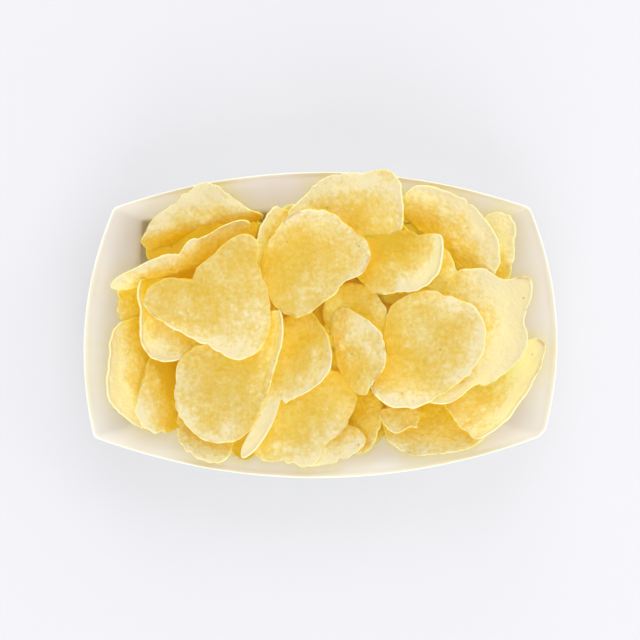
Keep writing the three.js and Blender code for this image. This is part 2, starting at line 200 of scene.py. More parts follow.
crisp("left rim", (-52, 1, 50), 10,
      (22, 21, 19, 18, 18, 20, 24, 32, 26, 26, 25, 22, 17, 14, 15, 22, 25, 24),
      curls=[(180, 17, 6, 66), (262, 12, 5, 30)], tone=0.27, fade=(243, 1))
crisp("front middle", (-6, -39, 47), 5, (19, 24, 23, 18, 15, 16, 18, 26, 20, 20, 14, 15),
      lean=(90, 4), cup=(0, 3, 2), curls=[(200, 10, 8, -14), (340, 9, 8, -14)], tone=0.45,
      fade=(300, 0.15))
crisp("middle sliver", (3, -6.5, 44.5), 0, (8, 9, 12, 18, 13, 9, 7, 10, 13, 16, 15, 10),
      lean=(0, 8), cup=(90, -1, 3), tone=0.3, fade=(217, 0.9))
crisp("big right", (65, -6.5, 49), 5,
      (22, 23, 35, 28, 30, 30, 24, 21, 20, 21, 26, 34, 31, 20, 19, 18, 19, 21),
      lean=(0, 5), cup=(30, 3, 2), curls=[(0, 10, 10, 18), (255, 14, 8, 18)], tone=1, fade=(343, 0.35))
crisp("behind the leaf", (14.5, 0, 49), 5, (15, 16, 17, 18, 17, 15, 14, 15, 16, 17, 19, 17),
      lean=(20, 20), cup=(90, 1, 4), tone=0.75, fade=(260, 0.2))
crisp("front left", (-41, -28, 51), 5,
      (21, 28, 44, 36, 27, 22, 22, 22, 20, 20, 20, 20, 21, 21, 21, 20, 18, 18),
      cup=(254, 3, 1), curls=[(344, 13, 8, 44)], tone=0.52, fade=(135, 0.1))
crisp("fan", (-17, -25, 49.5), 10, (24, 28, 31, 33, 26, 11, 8, 6, 6, 7, 9, 12, 35, 8, 8, 8, 10, 15),
      lean=(333, 10), cup=(254, 2, 4), curls=[(333, -2, 6, 16), (300, 9, 7, 20)], tone=0.78,
      fade=(225, 0.35))
crisp("curled back", (-19, 36, 50), 5, (8, 10, 13, 13, 10, 9, 9, 11, 15, 14, 10, 8),
      lean=(170, 38), cup=(80, 0, 2), curls=[(350, 1, 6, 30)], tone=0.85, fade=(172, 1.2))
crisp("back middle", (12, 48.5, 57), 5,
      (23, 23, 22, 16, 15, 15, 16, 17, 19, 25, 24, 21, 18, 17, 16, 19, 24, 24),
      lean=(90, 14), cup=(300, 3, -1), curls=[(0, 16, 5, 34)], tone=0.65, fade=(193, 0.15))
crisp("round right", (45, -10.5, 56), 10, (24, 26, 24, 25, 24, 20, 19, 31, 28, 20, 18, 20),
      lean=(0, 4), cup=(0, 2, 2), curls=[(252, 11, 7, 26), (0, 10, 12, 8)], fade=(0, 0.25))
crisp("leaf", (15.5, -11, 57), 5, (14, 14, 14, 16, 21, 14, 12, 13, 15, 18, 15, 15),
      lean=(0, 44), cup=(90, -1, 3), curls=[(0, 4, 6, -14)], tone=0.65, fade=(90, 0.3))
crisp("middle right", (31, 26, 59), 5,
      (24, 23, 16, 14, 13, 12, 14, 18, 20, 19, 17, 16, 15, 13, 13, 15, 18, 22),
      lean=(335, 14), cup=(340, 2, 2), curls=[(345, 10, 8, 36)], tone=0.22, fade=(307, 1.1))
crisp("top middle", (-2.5, 25.5, 61), 15, (24, 21, 22, 23, 23, 21, 21, 22, 23, 24, 23, 18, 16, 15, 22),
      lean=(60, 6), cup=(40, 2, 1), curls=[(318, 6, 10, 28), (100, 5, 10, 14)], tone=0.42,
      fade=(20, 0.15))
crisp("top left", (-46.5, 10, 64), 10, (25, 25, 32, 19, 14, 11, 20, 26, 22, 19, 18, 20, 27, 31, 28),
      lean=(60, 3), cup=(140, -2, 3), curls=[(240, 12, 7, 50), (0, 14, 10, -24)], tone=0.42,
      fade=(295, 0.38))
print(len(SLICES), "slices show, from", SLICES[0]["name"], "up to", SLICES[-1]["name"])

# %% [markdown]
# ## How a flat slice becomes a crisp
# Heat bends a slice in simple ways. It cups like a saucer, an edge rolls up along an arc, and slow
# waves run over all of it. Simple Deform modifiers could do this, one stack for each crisp, but
# four short formulas applied to the points keep the crisps where their solids are.

# %% Bend a slice and lay it in the heap
CUP_REACH = 25
RIPPLE = 0.35
# Each slow wave: radians per mm along X and Y, shift from slice to slice, share of RIPPLE.
WAVES = ((0.11, 0, 1.3, 1), (0, 0.13, 2.1, 1), (0.17, 0.17, 1, 0.7))


def outline(crisp, degrees):
    """Radii of the flat outline in the given directions: a smooth closed curve."""
    radii = crisp["radii"]
    turns = (degrees - crisp["first"]) / 360 % 1 * len(radii)
    step = np.floor(turns).astype(int)
    w = turns - step
    before, start, end, after = (radii[(step + k) % len(radii)] for k in (-1, 0, 1, 2))
    return ((2 * w**3 - 3 * w**2 + 1) * start + (w**3 - 2 * w**2 + w) * (end - before) / 2
            + (3 * w**2 - 2 * w**3) * end + (w**3 - w**2) * (after - start) / 2)


def curl(points, toward, start, arc, degrees):
    """Rolls everything that lies past `start` upwards, along an arc of the given length."""
    along = np.append(direction(toward), 0)
    bend = math.radians(degrees) / arc
    reach = points @ along - start
    turn = bend * np.clip(reach, 0, arc)
    beyond = np.maximum(reach - arc, 0)
    z = points[:, 2]
    rolled = np.sin(turn) / bend - z * np.sin(turn) + beyond * np.cos(turn)
    shift = np.where(reach > 0, rolled - reach, 0)
    lift = (1 - np.cos(turn)) / bend + z * (np.cos(turn) - 1) + beyond * np.sin(turn)
    points = points + shift[:, None] * along
    points[:, 2] += lift
    return points


def lay(points, crisp):
    """Takes points of the flat slice to where they lie in the heap."""
    x, y = points[:, 0], points[:, 1]
    cup_direction, rise_along, rise_across = crisp["cup"]
    ux, uy = direction(cup_direction)
    bent = points.copy()
    bent[:, 2] += RIPPLE * sum(share * np.sin(x * along_x + y * along_y + shift * crisp["seed"])
                               for along_x, along_y, shift, share in WAVES)
    bent[:, 2] += rise_along * ((x * ux + y * uy) / CUP_REACH) ** 2
    bent[:, 2] += rise_across * ((y * ux - x * uy) / CUP_REACH) ** 2
    for bend in crisp["curls"]:
        bent = curl(bent, *bend)
    uphill, slope = crisp["lean"]
    along = np.append(direction(uphill), 0)
    reach, z = bent @ along, bent[:, 2].copy()
    tilt = math.radians(slope)
    bent += (reach * math.cos(tilt) - z * math.sin(tilt) - reach)[:, None] * along
    bent[:, 2] = reach * math.sin(tilt) + z * math.cos(tilt)
    return bent + crisp["at"]


# %% [markdown]
# Close up a crisp is not smooth. Steam lifts its skin into round blisters, the whole face is a
# little lumpy, and the rim is thin, wavy and nicked. A Displace modifier with a texture could add
# this, but it would not know the two faces apart, and a blister lifts only one of them.
# First the relief: lumps at any wavelength, and blisters.

# %% Make lumps and blisters
LUMP_WAVES = 28
WAVE_SPREAD = (0.65, 1.6)
BLISTER_AREA = 40
BLISTER_RADIUS = (0.8, 2.6)
BLISTER_SLOPE = 0.14
BLISTER_FIELD = 0.93
SMALL_BLISTERS = 2.2
DOME = 1.3


def lumps(x, y, draw, wavelength):
    """Smooth random relief about one unit high: a sum of plane waves in random directions."""
    relief = np.zeros_like(x)
    for _ in range(LUMP_WAVES):
        frequency = 2 * math.pi / (wavelength * draw.uniform(*WAVE_SPREAD))
        heading, phase = draw.uniform(0, 2 * math.pi, 2)
        relief += np.sin(frequency * (x * math.cos(heading) + y * math.sin(heading)) + phase)
    return relief / math.sqrt(LUMP_WAVES)


def blisters(x, y, crisp, draw):
    """Height of the blisters on one face: domes of all sizes, scattered over the slice."""
    mean_radius = crisp["radii"].mean()
    relief = np.zeros_like(x)
    for _ in range(int(math.pi * mean_radius**2 / BLISTER_AREA)):
        degrees = draw.uniform(0, 360)
        reach = BLISTER_FIELD * math.sqrt(draw.uniform()) * outline(crisp, np.array([degrees]))[0]
        cx, cy = direction(degrees) * reach
        radius = BLISTER_RADIUS[0] + np.diff(BLISTER_RADIUS)[0] * draw.uniform() ** SMALL_BLISTERS
        inside = np.clip(1 - ((x - cx) ** 2 + (y - cy) ** 2) / radius**2, 0, 1)
        relief = np.maximum(relief, BLISTER_SLOPE * radius * inside**DOME)
    return relief


# %% [markdown]
# A slice is a square lattice of points pressed into a disc, so it has no pole in its middle. The
# lattice is used twice, for the upper and the lower face, and both share the points of the rim,
# which closes the shell. The disc then takes the radii of the outline, ragged and with a few
# small nicks in it.

# %% Press a lattice into a disc, and cut the ragged rim
# How many scallops go round the rim, and how far their phase shifts from slice to slice.
SCALLOPS = ((9, 2.9), (19, 4.3))
SCALLOP_SHARE = 0.004
RIM_RAGGEDNESS = 0.22
RAG_REACH = 20
RAG_WAVELENGTH = 5
# At least two nicks and fewer than six. Widths are in radians, depths in mm.
NICKS = (2, 6)
NICK_WIDTH = (0.03, 0.08)
NICK_DEPTH = (0.3, 0.9)
ONLY_AT_RIM = 6


def disc(count, crowding=0.0):
    """Share of the way to the rim, and angle, for a lattice of `count` steps pressed round."""
    t = np.linspace(-1, 1, count + 1)
    t = t * (1 + crowding - crowding * t**2)
    a, b = (grid.ravel() for grid in np.meshgrid(t, t, indexing="ij"))
    u, v = a * np.sqrt(1 - b**2 / 2), b * np.sqrt(1 - a**2 / 2)
    return np.hypot(u, v), np.arctan2(v, u)


def shell(count):
    """Quads of a closed shell of two lattices, and which points of the upper one lie inside."""
    upper = np.arange((count + 1) ** 2).reshape(count + 1, count + 1)
    inner = np.zeros_like(upper, bool)
    inner[1:-1, 1:-1] = True
    lower = upper.copy()
    lower[inner] = upper.size + np.arange(inner.sum())
    return np.concatenate([grid_quads(upper), grid_quads(lower)[:, ::-1]]), inner.ravel()


def ragged_radius(crisp, rim, angle, draw):
    """The outline's radius at each point of the lattice, with scallops, rags and nicks."""
    radius = outline(crisp, np.degrees(angle))
    for scallops, shift in SCALLOPS:
        radius *= 1 + SCALLOP_SHARE * np.sin(scallops * angle + shift * crisp["seed"])
    rags = lumps(np.cos(angle) * RAG_REACH, np.sin(angle) * RAG_REACH, draw, RAG_WAVELENGTH)
    radius += RIM_RAGGEDNESS * rags * rim**ONLY_AT_RIM
    for _ in range(draw.integers(*NICKS)):
        nick, width = draw.uniform(-math.pi, math.pi), draw.uniform(*NICK_WIDTH)
        away = (angle - nick + math.pi) % (2 * math.pi) - math.pi
        radius -= draw.uniform(*NICK_DEPTH) * np.exp(-(away / width) ** 2) * rim**ONLY_AT_RIM
    return radius


# %% Make a whole crisp
THICKNESS = 0.95
RIM_ROUNDING = 0.5
LATTICE_STEP = 0.66
RIM_CROWDING = 0.25
LUMP_WAVELENGTH = 9.0
LUMP_HEIGHT = 0.14
GRAIN_WAVELENGTH = 2.2
GRAIN_HEIGHT = 0.035
RIM_WAVE_HEIGHT = 0.45
RIM_WAVE_REACH = 10
RIM_WAVELENGTH = 11
WAVES_AT_RIM = 5
LOWER_FACE_MARK = 40
LIFT_LIMITS = (-6, 8)
FIRST_SEED = 1000


def crisp_mesh_data(crisp, step=LATTICE_STEP):
    """Points, quads and point attributes of one crisp, as a closed thin shell."""
    draw = np.random.default_rng(FIRST_SEED + crisp["seed"])
    count = int(2 * crisp["radii"].max() / step)
    rim, angle = disc(count, RIM_CROWDING)
    radius = ragged_radius(crisp, rim, angle, draw)
    x, y = rim * radius * np.cos(angle), rim * radius * np.sin(angle)

    middle = LUMP_HEIGHT * lumps(x, y, draw, LUMP_WAVELENGTH)
    rim_wave = lumps(np.cos(angle) * RIM_WAVE_REACH, np.sin(angle) * RIM_WAVE_REACH, draw,
                     RIM_WAVELENGTH)
    middle += RIM_WAVE_HEIGHT * rim_wave * rim**WAVES_AT_RIM
    from_edge = np.clip((1 - rim) * radius / RIM_ROUNDING, 0, 1)
    taper = np.sqrt(1 - (1 - from_edge) ** 2)
    faces, marks = [], []
    for side in (1, -1):
        raised = blisters(x, y, crisp, draw) * taper
        grain = GRAIN_HEIGHT * lumps(x, y, draw, GRAIN_WAVELENGTH) * taper
        height = middle + side * (THICKNESS / 2 * taper + raised + grain)
        faces.append(lay(np.stack([x, y, height], 1), crisp))
        marks.append(raised / (BLISTER_SLOPE * BLISTER_RADIUS[1]))

    quads, inner = shell(count)
    points = np.concatenate([faces[0], faces[1][inner]])
    flat = np.stack([x, y, np.zeros_like(x)], 1)
    # lift: how far the slice's own cup, curls and ripple raise each point. The finish paints raised
    # parts paler, a painted highlight for rims that curl up into the light.
    lift = np.clip(lay(flat, dict(crisp, lean=(0, 0), at=0))[:, 2], *LIFT_LIMITS)
    attributes = dict(
        lift=np.concatenate([lift, lift[inner]]),
        flat=np.concatenate([flat, flat[inner] + [0, 0, LOWER_FACE_MARK]]),
        rim=np.concatenate([rim, rim[inner]]),
        blister=np.concatenate([marks[0], marks[1][inner]]))
    return points, quads, attributes


def join(parts):
    """Several (points, quads, attributes) as one."""
    starts = np.cumsum([0] + [len(part[0]) for part in parts])
    points = np.concatenate([part[0] for part in parts])
    quads = np.concatenate([part[1] + start for part, start in zip(parts, starts)])
    attributes = {key: np.concatenate([part[2][key] for part in parts]) for key in parts[0][2]}
    return points, quads, attributes


# %% [markdown]
# ## The finish of a crisp
# Thinly sliced potato, fried in oil. It is starch that lets light through, so the light sinks in,
# comes out again near by and glows at the rims: that is subsurface scattering. Where steam dried
# the slice it is pale straw, and where oil stayed in it, it is clear and golden. The two mix at
# every scale, from patches as wide as a thumb down to single cells of starch, so one number, the
# paleness, is summed from several patterns and then read off a row of five colours. The paleness
# also holds painted light and shade: raised parts and the rim line are painted paler, as if lit,
# and sheltered parts a deeper gold, as if shaded.
# Every pattern reads the attribute `flat`, the place on the slice before it bent, in mm. So the
# grain follows the slice round its curls, as it does on the real one. The attribute `mark` shifts
# the pattern, so no two slices are cut from the same spot.

# %% Name the colours and sizes of fried potato
# Five colours from oily gold to dry straw. Through the paleness, the gold end also paints shade and the
# straw end paints light.
SHADED_OIL_TO_LIT_STRAW = ("#C69F1B", "#CBA933", "#CFB251", "#D3C17A", "#D9CFA4")
TOASTED_SPOT = colour("#A8731A")
SHADE_GAIN = (1.45, 1.48, 1.15, 1.0)
GAP_GAIN = (1.0, 1.15, 1.1, 1.0)
GOLDEN_LEAK = colour("#E2AC30")
PATCH_SIZE = 12.5
MOTTLE_SIZE = 1.9
CELL_SIZE = 1.5
SPECK_SPACING = 9.0
TOAST_SPACING = 24.0
MARK_SHIFT = 977.0
USUAL_PALENESS = 0.5
# The paleness runs from 0, oily gold, to 1, dry straw. For each cause of it: the value that
# counts as usual, and how much the paleness grows for each 1 above that.
# relief, lift, the rim line and shelter paint light and shade: parts that stand up or curl up and the
# thin rim are painted paler, as if lit, and sheltered parts a deeper gold, as if shaded.
PALENESS = dict(relief=(0.0, 0.034), lift=(0.0, 0.03), shelter=(0.2, -0.3), tone=(0.48, 0.85),
                patches=(0.5, 1.05), mottle=(0.5, 0.75), cells=(0.45, -0.17),
                rim_line=(0.0, 0.08), blister=(0.0, 0.2))

# %% Start the material with the attributes and patterns
fried_potato, tree = new_finish("fried_potato_slice")
flat, tone, rim, shelter, relief, lift, mark, blister = (
    add(tree, "ShaderNodeAttribute", dict(attribute_name=name))
    for name in ("flat", "tone", "rim", "shelter", "relief", "lift", "mark", "blister"))
shift = add(tree, "ShaderNodeMath", dict(operation="MULTIPLY"), {0: mark.outputs["Fac"], 1: MARK_SHIFT})
spot = add(tree, "ShaderNodeVectorMath", dict(operation="ADD"),
           {0: flat.outputs["Vector"], 1: shift.outputs[0]})
patches, mottle, toast = (
    add(tree, "ShaderNodeTexNoise", inputs={
        "Vector": spot.outputs[0], "Scale": 1 / size, "Detail": detail, "Roughness": roughness})
    for size, detail, roughness in ((PATCH_SIZE, 3.0, 0.6), (MOTTLE_SIZE, 2.0, 0.6),
                                    (TOAST_SPACING, 3.0, 0.7)))
cells, specks = (
    add(tree, "ShaderNodeTexVoronoi", inputs={
        "Vector": spot.outputs[0], "Scale": 1 / size, "Randomness": 1.0})
    for size in (CELL_SIZE, SPECK_SPACING))

# %% Measure where each effect sets in
# For each effect: what it goes by, the values between which it sets in, its share before and after.
# The rim line is a painted highlight: a thin pale line along the cut rim, where the thin edge glows.
EFFECTS = dict(rim_line=(rim.outputs["Fac"], 0.955, 0.995, 0.0, 1.0),
               speck=(specks.outputs["Distance"], 0.03, 0.08, 0.6, 0.0),
               toasted=(toast.outputs["Fac"], 0.56, 0.63, 0.0, 0.55),
               near_rim=(rim.outputs["Fac"], 0.94, 0.98, 0.0, 1.0),
               shade=(shelter.outputs["Fac"], 0.05, 0.8, 0.0, 1.0),
               gap=(shelter.outputs["Fac"], 0.5, 0.95, 0.0, 1.0),
               leak=(shelter.outputs["Fac"], 0.85, 1.0, 0.0, 0.09))

effect = {}
for name, (source, start, end, before, after) in EFFECTS.items():
    kind = "SMOOTHSTEP" if name == "rim_line" else "LINEAR"
    measured = add(tree, "ShaderNodeMapRange", dict(interpolation_type=kind), {
        "Value": source, "From Min": start, "From Max": end, "To Min": before, "To Max": after})
    effect[name] = measured.outputs[0]

# %% Sum the paleness and turn it into colour
causes = dict(relief=relief.outputs["Fac"], lift=lift.outputs["Fac"],
              shelter=shelter.outputs["Fac"], tone=tone.outputs["Fac"],
              patches=patches.outputs["Fac"], mottle=mottle.outputs["Fac"],
              cells=cells.outputs["Distance"], rim_line=effect["rim_line"],
              blister=blister.outputs["Fac"])
total = add(tree, "ShaderNodeMath", dict(operation="ADD"), {0: USUAL_PALENESS, 1: 0.0})
for name, (usual, share) in PALENESS.items():
    above = add(tree, "ShaderNodeMath", dict(operation="SUBTRACT"), {0: causes[name], 1: usual})
    total = add(tree, "ShaderNodeMath", dict(operation="MULTIPLY_ADD"), {
        0: above.outputs[0], 1: share, 2: total.outputs[0]})
face = add(tree, "ShaderNodeValToRGB", inputs={"Fac": total.outputs[0]})
stops = face.color_ramp.elements
for number, code in enumerate(SHADED_OIL_TO_LIT_STRAW):
    position = number / (len(SHADED_OIL_TO_LIT_STRAW) - 1)
    stop = stops[0] if number == 0 else stops[-1] if position == 1 else stops.new(position)
    stop.position = position
    stop.color = colour(code)

# %% [markdown]
# Fried edges toast first: short stretches of rim turn brown, and a few dark specks sit on the
# faces. Deep in the heap all the light has passed through other crisps, many times over. That is
# too much for a path tracer to follow, and the deep faces would come out brown. So the attribute
# `shelter` makes them give back more light, in two steps, and the very deepest shine a little,
# which stands for the light that the slices above hand down.

# %% Add the toasted marks and the glow of the deep faces
toasted_rim = add(tree, "ShaderNodeMath", dict(operation="MULTIPLY"),
                  {0: effect["toasted"], 1: effect["near_rim"]})
marks = add(tree, "ShaderNodeMath", dict(operation="MAXIMUM"),
            {0: effect["speck"], 1: toasted_rim.outputs[0]})
marked = add(tree, "ShaderNodeMix", dict(data_type="RGBA"), {
    0: marks.outputs[0], 6: face.outputs["Color"], 7: TOASTED_SPOT})
glow = add(tree, "ShaderNodeMix", dict(data_type="RGBA", clamp_factor=True), {
    0: effect["shade"], 6: (1, 1, 1, 1), 7: SHADE_GAIN})
multiply = dict(data_type="RGBA", blend_type="MULTIPLY", clamp_result=True)
lit = add(tree, "ShaderNodeMix", multiply, {0: 1.0, 6: marked.outputs[2], 7: glow.outputs[2]})
gap_lit = add(tree, "ShaderNodeMix", multiply, {
    0: effect["gap"], 6: lit.outputs[2], 7: GAP_GAIN})

# %% Add the fine grain, and let light sink in
GRAIN_DEPTH = 0.25
SCATTER_REACH = 1.6
SCATTER_COLOURS = (1.0, 0.8, 0.45)

grain = add(tree, "ShaderNodeMath", dict(operation="SUBTRACT"),
            {0: mottle.outputs["Fac"], 1: cells.outputs["Distance"]})
bump = add(tree, "ShaderNodeBump", inputs={
    "Height": grain.outputs[0], "Strength": 0.7, "Distance": GRAIN_DEPTH * MM})
surface = add(tree, "ShaderNodeBsdfPrincipled", inputs={
    "Base Color": gap_lit.outputs[2], "Emission Color": GOLDEN_LEAK,
    "Emission Strength": effect["leak"], "Roughness": 0.5, "IOR": 1.45, "Specular IOR Level": 0.25,
    "Subsurface Weight": 0.8, "Subsurface Radius": SCATTER_COLOURS,
    "Subsurface Scale": SCATTER_REACH * MM, "Normal": bump.outputs[0]})
add(tree, "ShaderNodeOutputMaterial", inputs={"Surface": surface.outputs[0]})
print("mixed", fried_potato.name)

# %% [markdown]
# ## The crisps that show
# Every slice is fried first, as arrays of points, because what lies on top of what matters for
# the colour as well: where a crisp is covered or lies deep in the heap, only light that has
# passed through other crisps reaches it, and it looks a deeper gold.

# %% Fry the slices
FADE_REACH = 20

for crisp in SLICES:
    points, quads, attributes = crisp_mesh_data(crisp)
    # The fade is painted light and shade: each slice is painted paler towards its lit side.
    toward, change = crisp["fade"]
    reach = attributes["flat"][:, :2] @ direction(toward)
    attributes["tone"] = crisp["tone"] + change * reach / FADE_REACH
    attributes["mark"] = np.full(len(points), crisp["seed"] / len(SLICES))
    crisp.update(points=points, quads=quads, attributes=attributes)
print(sum(len(crisp["quads"]) for crisp in SLICES) * 2, "triangles in the slices that show")

# %% [markdown]
# ## The bed under the slices
# Between the crisps that show, the eye looks down on the crisps below. Their height follows the
# ones above, so a map of the heap comes first: for each square millimetre, how high is the
# uppermost slice? The bed is that map, lowered, and taken at its lowest within a few millimetres.
# Near the edge of the heap there is bare card, so the bed falls away almost to the tray's floor.

# %% Map the cover and lower it
MAP_LOW = np.array([-108.0, -74.0])
MAP_SIZE = (216, 148)
GAP_REACH = 5
EDGE_REACH = 7
BED_REACH = 6
BED_DROP = 4.5
BED_SOFTENING = 6
BARE_HEIGHT = 4.0


def cell(points):
    """Row and column of the height map below each point."""
    index = np.floor(points[:, :2] - MAP_LOW).astype(int)
    return np.clip(index[:, 0], 0, MAP_SIZE[0] - 1), np.clip(index[:, 1], 0, MAP_SIZE[1] - 1)


def lowest_within(heights, reach):
    """The lowest known height within `reach` cells of each cell."""
    lowest = heights.copy()
    for dx in range(-reach, reach + 1):
        for dy in range(-reach, reach + 1):
            if dx * dx + dy * dy <= reach * reach:
                lowest = np.fmin(lowest, np.roll(heights, (dx, dy), (0, 1)))
    return lowest


def soften(heights, times):
    """Averages each cell with its neighbours, over and over."""
    for _ in range(times):
        around = [np.roll(heights, step, axis) for step in (-1, 1) for axis in (0, 1)]
        heights = (heights + sum(around)) / 5
    return heights


cover = np.full(MAP_SIZE, -np.inf)
for crisp in SLICES:
    np.maximum.at(cover, cell(crisp["points"]), crisp["points"][:, 2])
cover[~np.isfinite(cover)] = np.nan
covered = np.where(np.isnan(cover), 0.0, 1.0)
without_gaps = -lowest_within(-covered, GAP_REACH)
inside = lowest_within(without_gaps, GAP_REACH + EDGE_REACH)
bed = lowest_within(cover, BED_REACH) - BED_DROP
bed = soften(np.where((inside > 0) & ~np.isnan(bed), bed, BARE_HEIGHT), BED_SOFTENING)
print("bed from", bed.min().round(1), "to", bed.max().round(1), "mm")

# %% [markdown]
# How sheltered a point is can be read off the same map: look in sixteen directions, and see how
# steeply the heap rises in each. An open rim sees nearly all of the sky, and the bottom of a gap
# sees a narrow slot of it. The relief is simpler: how far a point stands above or below the heap
# around it, taken as the softened map. The finish uses it as painted light and shade: parts that
# stand up are painted paler, as if lit, and the hollows a deeper gold, as if shaded. Lower faces
# and the cut rim get light through the slice, so they count as more sheltered than they are.

# %% Measure how sheltered each point is, and its relief
UNDERSIDE_SHELTER = 0.35
CUT_RIM = 0.985
LOOK_DIRECTIONS = 16
LOOK_DISTANCES = (1.5, 3, 5, 8, 12, 17)
LOOK_LIFT = 0.7
CARD_SHOWS_AT = 25.0
RELIEF_SOFTENING = 140
RELIEF_LIMITS = (-12, 10)

shelter_cover = np.where(np.isnan(cover), 0, cover)
around = soften(np.where(np.isnan(cover), CARD_SHOWS_AT, cover), RELIEF_SOFTENING)


def shelter(points):
    """0 where a point sees the whole sky, up to 1 where the heap hides all of it."""
    hidden = np.zeros(len(points))
    for turn in range(LOOK_DIRECTIONS):
        heading = direction(360 * (turn + 0.5) / LOOK_DIRECTIONS)
        steepest = np.zeros(len(points))
        for distance in LOOK_DISTANCES:
            seen = points.copy()
            seen[:, :2] += heading * distance
            rise = shelter_cover[cell(seen)] - points[:, 2] - LOOK_LIFT
            steepest = np.maximum(steepest, rise / np.hypot(rise, distance))
        hidden += steepest
    return hidden / LOOK_DIRECTIONS


def relief_of(points):
    """How far each point stands above the heap around it, in mm."""
    return np.clip(points[:, 2] - around[cell(points)], *RELIEF_LIMITS)


for crisp in SLICES:
    attributes = crisp["attributes"]
    lit_through = (attributes["flat"][:, 2] == LOWER_FACE_MARK) | (attributes["rim"] > CUT_RIM)
    attributes["shelter"] = shelter(crisp["points"]) + UNDERSIDE_SHELTER * lit_through
    attributes["relief"] = relief_of(crisp["points"])
everywhere = np.concatenate([crisp["attributes"]["shelter"] for crisp in SLICES])
print("shelter, median and most:", np.median(everywhere).round(2), everywhere.max().round(2))

# %% [markdown]
# All the slices of a kind become one piece: the flat ones, the cupped ones, and then four kinds
# by how sharply they curl. A few pieces are easier to finish than thirty, and each piece stays
# under 200,000 triangles.

# %% Gather the slices by kind
LEAST_CURL = dict(crisps_folded=45, crisps_rolled=30, crisps_curled=20, crisps_bent=1)
FLATTEST_CUP = 2

kinds = {}
for crisp in SLICES:
    sharpest = max([abs(degrees) for *_, degrees in crisp["curls"]], default=0)
    fitting = [kind for kind, least in LEAST_CURL.items() if sharpest >= least]
    if not fitting:
        cupped = max(map(abs, crisp["cup"][1:])) > FLATTEST_CUP
        fitting = ["crisps_cupped" if cupped else "crisps_flat"]
    kinds.setdefault(fitting[0], []).append((crisp["points"], crisp["quads"], crisp["attributes"]))
crisp_pieces = [show(mesh_from(kind, *join(parts)), fried_potato)
                for kind, parts in sorted(kinds.items())]

# %% [markdown]
# ## The card tray
# One sheet of card, die-cut, folded up along the base and glued at the corners, where a narrow
# gusset joins two walls. A box with moved corners would miss that every wall bows outwards and
# stands higher at its middle, so the tray is a stack of rings, from the base up to the rim. The
# outer face follows the solid, and the card is 0.6 mm thick, about as thin as real tray board.

# %% Shape the rings of the tray
CARD = 0.6
RIM_CORNERS = ((-95.6, -47.5), (94.5, -46.5), (88.4, 49.6), (-87.2, 49.6))
BASE_CORNERS = ((-79, -44), (79, -44), (79, 46.5), (-79, 46.5))
RIM_BOW = (17.2, 7.8, 14.6, 7.6)
BASE_BOW = (4, 1.5, 4, 1.5)
CORNER_HEIGHT = 38
MIDDLE_RISE = (5, 4, 5, 4)
GUSSET = (2, 4.5, 2, 2)
BASE_GUSSET = 1
STEPS_PER_WALL = 48
WALL_LEVELS = 14
FOLD_ROUNDING = 0.7


def bowed_edge(start, end, bow, start_cut, end_cut):
    """Points from corner to corner along a bowed edge, with its outward direction and arch."""
    start, end = np.array(start, float), np.array(end, float)
    along = end - start
    length = np.linalg.norm(along)
    outward = np.array([along[1], -along[0]]) / length
    t = np.linspace(start_cut / length, 1 - end_cut / length, STEPS_PER_WALL + 1)
    arch = 1 - (2 * t - 1) ** 2
    return start + t[:, None] * along + (bow * arch)[:, None] * outward, outward, arch


def tray_ring(level, inset, lift=0.0):
    """A ring round the tray at `level` (0 base, 1 rim), `inset` mm in from the outer face."""
    ring = []
    for side in range(4):
        after = (side + 1) % 4
        cuts = (GUSSET[side] / 2 + inset, GUSSET[after] / 2 + inset)
        base_cut = BASE_GUSSET / 2 + inset
        rim, outward, arch = bowed_edge(RIM_CORNERS[side], RIM_CORNERS[after], RIM_BOW[side], *cuts)
        base, _, _ = bowed_edge(BASE_CORNERS[side], BASE_CORNERS[after], BASE_BOW[side],
                                base_cut, base_cut)
        height = CORNER_HEIGHT + MIDDLE_RISE[side] * arch
        place = base + (rim - base) * level - inset * outward
        ring.append(np.column_stack([place, height * level + lift]))
    return np.concatenate(ring)


def ring_quads(index):
    """Quads between closed rings that follow one another, from the numbers of their points."""
    here, there = index[:-1], index[1:]
    return np.stack([here, np.roll(here, -1, 1), np.roll(there, -1, 1), there], -1).reshape(-1, 4)


# %% [markdown]
# The rings run up the outer face, over the cut rim and down the inner face. Two patches close the
# base: their rows of points shrink towards the middle line, so no point has a fan of thin faces.

# %% Fold the tray
MIDDLE_LINE = 1.2
MIDDLE_LENGTH = 0.5
BASE_ROWS = (0.05, 0.2, 0.4, 0.6, 0.8, 0.999)
FOLD_ALONG, FOLD_UP = FOLD_ROUNDING * 0.3, FOLD_ROUNDING * 0.08
RIM_CROWN = CARD * 0.14


def shrink(ring, share, height):
    """The ring pulled in towards the middle line of the base, for the flat of the base."""
    middle = ring.copy()
    middle[:, 1] = MIDDLE_LINE
    pulled = ring + (middle - ring) * share
    pulled[:, 0] = ring[:, 0] * (1 - MIDDLE_LENGTH * share)
    pulled[:, 2] = height
    return pulled


rings = []
outer_base = tray_ring(0, 0)
inner_base = tray_ring(0, CARD, CARD)
for share in BASE_ROWS[::-1]:
    rings.append(shrink(outer_base, share, 0))
rings.append(tray_ring(0, FOLD_ROUNDING))
rings.append(tray_ring(0, FOLD_ALONG, FOLD_UP))
levels = np.linspace(0, 1, WALL_LEVELS + 1)
levels[0] = FOLD_ROUNDING / CORNER_HEIGHT
for level in levels:
    rings.append(tray_ring(level, 0))
for share in (0.25, 0.75):
    rings.append(tray_ring(1, CARD * share, RIM_CROWN))
for level in levels[::-1]:
    rings.append(tray_ring(level, CARD, CARD * (1 - level)))
rings.append(tray_ring(0, CARD + FOLD_ALONG, CARD + FOLD_UP))
for share in (0.02, *BASE_ROWS):
    rings.append(shrink(inner_base, share, CARD))
rings = np.array(rings)
index = np.arange(rings.shape[0] * rings.shape[1]).reshape(rings.shape[:2])
tray_points = rings.reshape(-1, 3)
tray_quads = ring_quads(index)
print(len(rings), "rings,", len(tray_quads), "quads in the tray")
